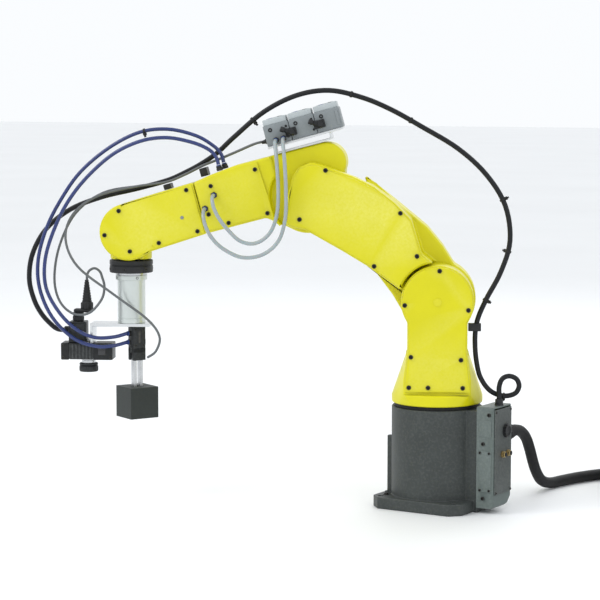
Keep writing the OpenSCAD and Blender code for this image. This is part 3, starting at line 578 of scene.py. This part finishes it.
# ---------------------------------------------------------------- castings and covers
softened("base_casting", "grey", "base", 1.6, 3)
softened("connector_box", "pale_grey", "base", 1.3, 3)
softened("rear_panel", "grey", "base", 0.9, 2)
softened("j1_bearing", "rubber", "base", 0.8, 2)
softened("turret_casting", "yellow", "turret", 2.6, 3)
softened("turret_cover", "yellow_cover", "turret", 1.3, 3)
softened("turret_clip", "plastic", "turret", 0.8, 2)
softened("upper_arm_casting", "yellow", "upper_arm", 4.0, 4)
softened("upper_arm_cover_near", "yellow_cover", "upper_arm", 1.3, 3)
softened("upper_arm_cover_far", "yellow_cover", "upper_arm", 1.3, 3)
softened("elbow_housing", "yellow", "elbow", 4.0, 4)
softened("elbow_cover", "yellow_cover", "elbow", 1.0, 3)
softened("elbow_clip", "plastic", "elbow", 1.2, 2)
softened("valve_bracket", "aluminium", "elbow", 0.6, 2)
softened("forearm_casting", "yellow", "forearm", 2.6, 3)
softened("forearm_cover_near", "yellow_cover", "forearm", 1.0, 3)
softened("forearm_cover_far", "yellow_cover", "forearm", 0.6, 2, merge=False)
softened("forearm_clip", "plastic", "forearm", 1.2, 2)
softened("wrist_housing", "yellow", "wrist", 2.4, 3)
softened("camera_bracket", "aluminium", "tool", 0.5, 2)
softened("jaw_left", "steel", "jaw_left", 0.5, 2)
softened("jaw_right", "steel", "jaw_right", 0.5, 2)
softened("work_block", "block", "tool", 0.8, 3)

cap_screws("turret_cap_screws", "turret_screws", "turret", ARM, [(TURRET_SCREWS, half_t + cover_t, 1, 3.6)])
cap_screws("upper_arm_cap_screws", "upper_arm_screws", "upper_arm", UPPER,
           [(ARM_SCREWS, half_t + cover_t, 1, 3.6), (ARM_FAR_SCREWS, -half_t - cover_t, -1, 3.6)])
cap_screws("elbow_cap_screws", "elbow_screws", "elbow", FORE,
           [(ELBOW_SCREWS, fore_t + 3, 1, 3.4), (ELBOW_FAR_SCREWS, -53, -1, 3.4)])
cap_screws("forearm_cap_screws", "forearm_screws", "forearm", FORE,
           [(FORE_SCREWS, fore_t + 3, 1, 3.4), (FORE_SCREWS, -fore_t - 3, -1, 3.4)])

# the inner drives keep their CAD shapes
for node, finish in {"j1_motor": "motor", "j1_reducer": "steel", "j2_motor": "motor", "j2_reducer": "steel",
                     "j3_motor": "motor", "j3_bearing": "steel", "j4_drive": "motor", "j5_motor": "motor",
                     "j6_motor": "motor", "wrist_belt": "rubber"}.items():
    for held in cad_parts[node].material_slots:
        held.material = M[finish]

# ---------------------------------------------------------------- base details
BOX_BACK, BOX_SIDE = -116.0, 30.0
bm = bmesh.new()
for x, z in PANEL_SCREWS:
    lathe(bm, [(0, -0.4), (3, -0.4), (3, 1.9), (2.5, 2.4), (1.7, 2.4), (1.6, 1.0), (0, 1.0)],
          (x, BOX_SIDE, z), (0, 1, 0), 24, 2)
lathe(bm, [(7, 7), (8.9, 7), (8.9, -1.9), (11, -2.1), (11, -3.6), (9.2, -3.8), (9.2, -6.4), (8.6, -7), (7, -7), (6.6, -3), (0, -3)],
      (BOX_BACK, -8, 128), (1, 0, 0), 48, 0)
lathe(bm, [(9.2, -3.9), (9.7, -4.2), (9.7, -6.0), (9.2, -6.4)], (BOX_BACK, -8, 128), (1, 0, 0), 48, 0, ribs=24, rib=-0.5)
for ring, count in ((2.0, 3), (4.8, 7)):
    for k in range(count):
        a = 2 * math.pi * k / count
        lathe(bm, [(0.6, -3), (0.6, -5.4), (0.3, -6), (0, -6)],
              (BOX_BACK, -8 + ring * math.cos(a), 128 + ring * math.sin(a)), (1, 0, 0), 10, 1)
for y in (-14, 4):
    fitting(bm, (BOX_BACK - 1.9, y, 92), (-1, 0, 0), 4.9, 7.2, True, 1, 0)
    lathe(bm, [(4.9, 0), (4.9, 6)], (BOX_BACK - 3, y, 92), (1, 0, 0), 20, 1)
for y, z in ((-25, 33), (25, 33), (-25, 160), (25, 160)):
    lathe(bm, [(0, -0.4), (2.0, -0.4), (2.0, 0.8), (1.6, 1.2), (1.0, 1.2), (0.9, 0.4), (0, 0.4)],
          (BOX_BACK - 2, y, z), (-1, 0, 0), 18, 2)
piece("rear_sockets", bm, ["plastic", "brass", "screw"], "base", "rear_connectors", smooth=34)

bm = bmesh.new()
rounded_box(bm, (-112, 29.4, 34), (-90, 31.2, 99), 0.8, 2, 0)
rounded_box(bm, (-112, 29.4, 121), (-90, 31.0, 147), 0.7, 2, 0)
for x, z in ((-109, 37), (-109, 96), (-93, 96), (-93, 37)):
    lathe(bm, [(0, -0.4), (2.1, -0.4), (2.1, 0.9), (1.7, 1.3), (1.1, 1.3), (1.0, 0.4), (0, 0.4)], (x, 31.2, z), (0, 1, 0), 18, 1)
piece("side_panel", bm, ["pale_grey", "screw"], "base", smooth=34)

bm = bmesh.new()
for y in (-26, 26):
    rounded_box(bm, (70.5, y - 7, 8), (76.5, y + 7, 20), 1.2, 2, 0)
lathe(bm, [(3.4, -1), (3.4, 2.6), (2.8, 3.2), (1.9, 3.2), (1.8, 1.6), (0, 1.6)], (63, 52, 18), (0, 0, 1), 24, 1)
lathe(bm, [(5.2, -0.5), (5.2, 0.8), (4.8, 1.0), (0, 1.0)], (63, 52, 18), (0, 0, 1), 24, 1)
for a in range(0, 360, 45):
    c, s = math.cos(math.radians(a + 22.5)), math.sin(math.radians(a + 22.5))
    lathe(bm, [(0, -1), (2.6, -1), (2.6, 1.6), (2.1, 2.1), (1.4, 2.1), (1.3, 0.8), (0, 0.8)], (69.8 * c * 0.99, 69.8 * s * 0.99, 151), (c, s, 0), 18, 1)
piece("base_fittings", bm, ["grey", "screw"], "base", smooth=34)

GLAND = shift(-100, 0, 118) @ turn("X", 90)
bm = bmesh.new()
lathe(bm, [(11.9, 24), (11.9, 30)], n=32, matrix=GLAND)
lathe(bm, [(15.4, 30.1), (17, 31), (17, 37), (15.6, 38)], n=6, matrix=GLAND)
lathe(bm, [(14.4, 38), (15, 38.8), (15, 42), (14.2, 43)], n=40, matrix=GLAND, ribs=20, rib=-0.7)
relief = [(14.0, 43)]
for k in range(5):
    z0 = 44 + 4.1 * k
    r0 = 13.4 - 0.6 * k
    relief += [(r0, z0), (r0, z0 + 2.2), (r0 - 1.0, z0 + 2.7), (r0 - 1.0, z0 + 3.7)]
relief += [(10.6, 64.6), (10.2, 65)]
lathe(bm, relief, n=32, matrix=GLAND)
piece("cable_strain_relief", bm, "rubber", "base", "cable_gland", smooth=34)

SOCKET = ARM @ shift(-97, 52, 168)
bm = bmesh.new()
lathe(bm, [(6.0, 0), (7.2, 0), (7.2, 1.6), (6.8, 2), (6.0, 2)], n=6, matrix=SOCKET)
lathe(bm, [(6.1, 2), (6.3, 2.4), (6.3, 8.8), (5.8, 10), (4.5, 10), (4.3, 9), (4.3, 4), (0, 4)], n=36, matrix=SOCKET, ribs=0)
piece("dress_cable_socket", bm, "plastic", "base", "dress_socket", smooth=34)

# ---------------------------------------------------------------- turret and arm details
bm = bmesh.new()
lathe(bm, [(4.2, -0.6), (4.2, 0.6), (3.8, 1.0), (1.4, 1.0), (1.2, 0.4), (0, 0.4)], (0, half_t + cover_t, 330), (0, 1, 0), 36)
piece("shoulder_plug", bm, "grey", "turret", matrix=ARM, smooth=34)

bm = bmesh.new()
lathe(bm, [(8.6, -0.6), (8.6, 0.8), (8.0, 1.4), (3.0, 1.4), (2.6, 0.6), (0, 0.6)], (0, -half_t - cover_t, 0), (0, -1, 0), 36)
for x, z in ((-30, -34), (30, -34), (-34, 30), (34, 30)):
    lathe(bm, [(3.2, -0.6), (3.2, 0.5), (2.8, 0.9), (0, 0.9)], (x, -half_t - cover_t, z), (0, -1, 0), 24)
piece("far_side_plugs", bm, "valve", "upper_arm", matrix=UPPER, smooth=34)

bm = bmesh.new()
lathe(bm, [(2.8, -0.4), (2.8, 0.5), (2.4, 0.9), (0, 0.9)], (200, fore_t + 3, 20), (0, 1, 0), 24)
lathe(bm, [(2.8, -0.4), (2.8, 0.5), (2.4, 0.9), (0, 0.9)], (200, -fore_t - 3, 20), (0, -1, 0), 24)
piece("forearm_plugs", bm, "valve", "forearm", matrix=FORE, smooth=34)

# ---------------------------------------------------------------- valve block
bm = bmesh.new()
for k, (x0, x1) in enumerate(((-81.6, -40.6), (-40.0, 0.6), (1.2, 41.6))):
    rounded_box(bm, (x0, -25.6, 91.4), (x1, 25.6, 124), 1.4, 2, 0)
    rounded_box(bm, (x0 + 1.5, -23, 123.4), (x1 - 1.5, 23, 133.4), 1.6, 3, 1)
    rounded_box(bm, (x0 + 7, -8, 132.6), (x1 - 7, 8, 134.2), 0.8, 2, 1)
    for y in (-15, 15):
        lathe(bm, [(3.0, -0.6), (3.0, 0.5), (2.5, 0.9), (1.2, 0.9), (1.0, 0.2), (0, 0.2)], (x0 + 12, y, 133.2), (0, 0, 1), 20, 2)
        rounded_box(bm, (x0 + 22, y - 2.2, 133.0), (x0 + 30, y + 2.2, 134.0), 0.5, 2, 3)
    for z in (99, 116):
        lathe(bm, [(2.0, -0.5), (2.0, 0.5), (1.6, 0.9), (0.9, 0.9), (0.8, 0.3), (0, 0.3)], (x0 + 4.4, 25.4, z), (0, 1, 0), 16, 2)
        lathe(bm, [(2.0, -0.5), (2.0, 0.5), (1.6, 0.9), (0.9, 0.9), (0.8, 0.3), (0, 0.3)], (x0 + 4.4, -25.4, z), (0, -1, 0), 16, 2)
    for y, s in ((-25.4, -1), (25.4, 1)):
        lathe(bm, [(3.4, -0.5), (3.4, 0.6), (2.6, 1.0), (1.4, 1.0), (1.2, -0.2), (0, -0.2)], (x0 + 30, y, 116), (0, s, 0), 20, 2)
rounded_box(bm, (-79, -27.2, 96), (-74, 27.2, 120), 1.0, 2, 0)
piece("valve_manifold", bm, ["valve", "valve_light", "plastic", "blue_plastic"], "elbow", "valve_block", FORE, smooth=34)

bm = bmesh.new()
for x in (-58, -12):
    rounded_box(bm, (x + 3, 25.2, 98.5), (x + 21, 29.4, 111.5), 1.0, 2, 0)
    lathe(bm, [(5.0, 0), (5.4, 0.8), (5.4, 6), (4.6, 7), (4.6, 10), (4.0, 11)], (x + 10, 29, 105), (0, 1, 0), 28, 0)
    knob = Vector((0.82, 0.18, 0.55)).normalized()
    lathe(bm, [(3.6, -1), (4.2, 0.5), (4.2, 13), (3.4, 14.2), (3.4, 15.6), (4.4, 16.2), (4.4, 21.6), (3.6, 22.4), (0, 22.4)],
          (x + 8, 33, 101.5), knob, 24, 0)
for x, z in ((26, 98.4), (14, 98.2)):
    fitting(bm, (x, 25.2, z), (0, 1, 0), 4.6, 10.8, True, 0, 1)
for v in (-20, 3):
    seat = FORE.inverted() @ ARM @ shift(271, v, 578) @ turn("Y", SLOPE)
    rounded_box(bm, (-7, -4.4, -4.4), (1.5, 4.4, 4.4), 0.9, 2, 0, seat)
    lathe(bm, [(3.6, 1), (3.4, 2.4), (2.5, 7.5), (2.2, 8)], (0, 0, 0), (1, 0, 0), 20, 0, seat)
piece("valve_ports", bm, ["plastic", "blue_plastic"], "elbow", "valve_fittings", FORE, smooth=34)

bm = bmesh.new()
for x, z in ((142, 41), (161, 24)):
    fitting(bm, (x, fore_t + 2.4, z), (0, 1, 0), 5.0, 6.6, True, 0, 1)
for x, y, z in ((116, 15, 76.3), (124, 27, 75.3)):
    fitting(bm, (x, y, z), (0, 0, 1), 5.0, 9.2, True, 0, 1)
piece("elbow_ports", bm, ["plastic", "blue_plastic"], "elbow", "elbow_fittings", FORE, smooth=34)

# ---------------------------------------------------------------- tool
RING_TOP, FLANGE_FACE, TUBE_FOOT = -46.0, -70.0, -147.0
bm = bmesh.new()
lathe(bm, [(31, RING_TOP), (33.6, RING_TOP), (34.5, RING_TOP - 1), (34.5, RING_TOP - 7), (33.7, RING_TOP - 7.6), (33.7, RING_TOP - 8.8),
           (34.5, RING_TOP - 9.4), (34.5, RING_TOP - 19), (33.5, RING_TOP - 20), (20, RING_TOP - 20)], n=72, finish=0)
lathe(bm, [(24.2, RING_TOP - 19.9), (25, RING_TOP - 20.6), (25, FLANGE_FACE + 0.4), (24.5, FLANGE_FACE + 0.05), (10, FLANGE_FACE + 0.05)], n=64, finish=1)
for k in range(6):
    a = math.radians(60 * k + 20)
    c, s = math.cos(a), math.sin(a)
    lathe(bm, [(0, -1), (2.4, -1), (2.4, 0.6), (2.0, 1.0), (1.3, 1.0), (1.2, 0), (0, 0)], (34.2 * c, 34.2 * s, RING_TOP - 14), (c, s, 0), 18, 2)
piece("wrist_ring", bm, ["plastic", "steel", "screw"], "tool", "tool_flange", WRIST, smooth=34)

bm = bmesh.new()
lathe(bm, [(20, FLANGE_FACE - 0.1), (24.4, FLANGE_FACE - 0.1), (25, FLANGE_FACE - 0.7), (25, FLANGE_FACE - 7.4), (24.4, FLANGE_FACE - 8),
           (22.2, FLANGE_FACE - 8.2), (22, FLANGE_FACE - 9), (22, TUBE_FOOT + 9), (21.5, TUBE_FOOT + 8.6), (21.5, TUBE_FOOT + 7.8), (22, TUBE_FOOT + 7.4),
           (22, TUBE_FOOT + 0.8), (21.2, TUBE_FOOT), (10, TUBE_FOOT)], n=72, finish=0)
for k in range(4):
    a = math.radians(90 * k + 30)
    c, s = math.cos(a), math.sin(a)
    lathe(bm, [(0, -1), (2.2, -1), (2.2, 0.3), (1.3, 0.3), (1.2, -0.6), (0, -0.6)], (24.9 * c, 24.9 * s, FLANGE_FACE - 4), (c, s, 0), 18, 1)
piece("tool_tube", bm, ["tube_metal", "screw"], "tool", "extension_tube", WRIST, smooth=34)

cam_top = TUBE_FOOT - 32
bm = bmesh.new()
rounded_box(bm, (29, -18, cam_top - 27), (60, 18, cam_top), 1.6, 3, 0)
rounded_box(bm, (61, -17.4, cam_top - 26.4), (98, 17.4, cam_top - 0.4), 1.2, 2, 0)
rounded_box(bm, (58, -16.4, cam_top - 25.2), (104, 16.4, cam_top - 1.4), 0.6, 1, 0)
rounded_box(bm, (99, -18, cam_top - 27), (112, 18, cam_top), 1.6, 3, 0)
for k in range(6):
    rounded_box(bm, (63.5 + 5.6 * k, -18, cam_top - 25), (66.5 + 5.6 * k, 18, cam_top - 2), 0.5, 1, 0)
rounded_box(bm, (72, -14, cam_top - 0.4), (100, 14, cam_top + 34), 1.8, 3, 0)
rounded_box(bm, (74.5, 13.4, cam_top + 6), (97.5, 14.7, cam_top + 30), 0.6, 2, 0)
rounded_box(bm, (74.5, -14.7, cam_top + 6), (97.5, -13.4, cam_top + 30), 0.6, 2, 0)
for y, s in ((18, 1), (-18, -1)):
    for x, z in ((32.6, -4), (32.6, -23), (108.5, -4), (108.5, -23)):
        lathe(bm, [(0, -0.6), (1.9, -0.6), (1.9, 0.4), (1.5, 0.7), (0.9, 0.7), (0.8, 0.1), (0, 0.1)], (x, y, cam_top + z), (0, s, 0), 16, 3)
rounded_box(bm, (40, 17.4, cam_top - 19), (52, 18.5, cam_top - 8), 0.5, 2, 2)
lathe(bm, [(11.6, cam_top - 26.6), (11.6, cam_top - 28), (11, cam_top - 28.6), (11, cam_top - 32.6), (10.4, cam_top - 33.2)], (70, 0, 0), (0, 0, 1), 48, 1)
lens = [(13.6, cam_top - 33), (15, cam_top - 33.9), (15, cam_top - 36), (14.2, cam_top - 36.6), (14.2, cam_top - 37.4), (15, cam_top - 38)]
lens += [(15, cam_top - 46.2), (14.2, cam_top - 47), (12.6, cam_top - 47), (11.0, cam_top - 43.4), (10.8, cam_top - 42.6)]
lathe(bm, lens, (70, 0, 0), (0, 0, 1), 64, 0)
lathe(bm, [(15.0, cam_top - 39), (15.3, cam_top - 39.4), (15.3, cam_top - 44.6), (15.0, cam_top - 45)], (70, 0, 0), (0, 0, 1), 96, 0, ribs=48, rib=-0.5)
lathe(bm, [(10.9, cam_top - 41.4), (9.2, cam_top - 43.2), (6.2, cam_top - 44.4), (3.0, cam_top - 45.0), (0, cam_top - 45.2)], (70, 0, 0), (0, 0, 1), 48, 2)
piece("camera_unit", bm, ["camera", "steel", "glass", "screw"], "tool", "vision_camera", WRIST, smooth=34)

bm = bmesh.new()
PLUGS = shift(72, 0, -125)
rounded_box(bm, (-8.5, -8.5, -6), (20.5, 8.5, -0.2), 2.2, 3, 0, PLUGS)
lathe(bm, [(8.2, -19.7), (8.8, -19.0), (8.8, -12), (8.2, -11.4), (8.2, -10.2), (8.8, -9.6), (8.8, -6)], (14, 0, 0), (0, 0, 1), 36, 0, PLUGS)
lathe(bm, [(8.9, -18.4), (9.2, -18), (9.2, -13), (8.9, -12.6)], (14, 0, 0), (0, 0, 1), 48, 0, PLUGS, ribs=24, rib=-0.5)
lathe(bm, [(9.6, -0.4), (10, 0.4), (10, 8.6), (9.2, 10)], (0, 0, 0), (0, 0, 1), 48, 0, PLUGS, ribs=24, rib=-0.6)
boot = [(8.0, 9.6)]
for k in range(8):
    z0 = 10.4 + 4.2 * k
    r0 = 7.9 - 0.56 * k
    boot += [(r0, z0), (r0 - 0.2, z0 + 2.6), (r0 - 1.0, z0 + 3.0), (r0 - 1.0, z0 + 3.9)]
boot += [(3.2, 44.6), (2.9, 46), (2.1, 46)]
lathe(bm, boot, (0, 0, 0), (0, 0, 1), 28, 0, PLUGS)
lathe(bm, [(6.5, 0), (6.5, 3.4), (5.9, 4.0), (6.3, 4.6), (6.3, 8.6), (5.4, 9.8), (4.1, 9.9)], (100, -6, cam_top + 18.5), (1, 0, 0), 32, 0)
piece("camera_connectors", bm, "plastic", "tool", "camera_plugs", WRIST, smooth=34)

grip_top = TUBE_FOOT - 5.2
grip_foot = grip_top - 55
bm = bmesh.new()
rounded_box(bm, (-11, -9, grip_foot + 19.6), (11, 9, grip_top), 0.9, 2, 0)
rounded_box(bm, (-12.2, -7.4, grip_foot + 24), (12.2, 7.4, grip_foot + 34), 0.7, 2, 0)
for y0, y1 in ((-9, -4.2), (4.2, 9)):
    rounded_box(bm, (-11, y0, grip_foot), (11, y1, grip_foot + 20.2), 0.6, 2, 0)
rounded_box(bm, (-11, -9, grip_foot + 12), (11, 9, grip_foot + 20), 0.5, 1, 0)
for z in (grip_top - 12, grip_top - 26):
    lathe(bm, [(4.2, 0), (4.4, 0.6), (4.4, 2.4), (4.0, 2.9)], (11, -3, z), (1, 0, 0), 6, 2)
    lathe(bm, [(3.6, 2.4), (3.9, 3.0), (3.9, 4.6), (3.4, 5)], (11, -3, z), (1, 0, 0), 24, 1)
for x, z in ((-7, 50), (7, 50), (-7, 24), (7, 24)):
    for y, s in ((9, 1), (-9, -1)):
        lathe(bm, [(0, -0.6), (1.9, -0.6), (1.9, 0.5), (1.6, 0.8), (0.9, 0.8), (0.8, 0.1), (0, 0.1)], (x, y, grip_foot + z), (0, s, 0), 16, 2)
for y, s in ((9, 1), (-9, -1)):
    rounded_box(bm, (-1.6, y - 0.5 if s > 0 else y - 0.4, grip_foot + 28), (1.6, y + 0.4 if s > 0 else y + 0.5, grip_foot + 48), 0.4, 1, 2)
piece("gripper_housing", bm, ["camera", "blue_plastic", "screw"], "tool", "gripper_body", GRIPPER, smooth=34)

# ---------------------------------------------------------------- stage and light
bpy.ops.mesh.primitive_plane_add(size=60, location=(0.2, 0, -0.0004))
floor = bpy.context.object
floor.name = "floor"
floor.data.materials.append(material("pale_floor", (0.90, 0.91, 0.92), 0.6, vary=0.02, bump=0.02, grain=12, fine=300, rough_vary=0.05))

world = bpy.data.worlds.new("studio")
world.use_nodes = True
world.node_tree.nodes["Background"].inputs["Color"].default_value = (0.96, 0.98, 1.0, 1)
world.node_tree.nodes["Background"].inputs["Strength"].default_value = 1.0
bpy.context.scene.world = world


def area_light(name, at, size, power, colour=(1, 1, 1)):
    data = bpy.data.lights.new(name, "AREA")
    data.shape = "RECTANGLE"
    data.size, data.size_y = size
    data.energy = power
    data.color = colour
    light = bpy.data.objects.new(name, data)
    light.location = at
    light.rotation_euler = (Vector((0.2, 0.1, 0.3)) - Vector(at)).to_track_quat("-Z", "Y").to_euler()
    bpy.context.scene.collection.objects.link(light)


area_light("key", (1.6, 2.2, 2.6), (1.8, 1.4), 34)
area_light("fill", (-2.6, 1.2, 1.6), (1.6, 1.6), 9, (0.96, 0.98, 1.0))
area_light("back", (0.4, -2.4, 2.2), (2.0, 1.2), 20)
bpy.context.scene.view_settings.view_transform = "Standard"
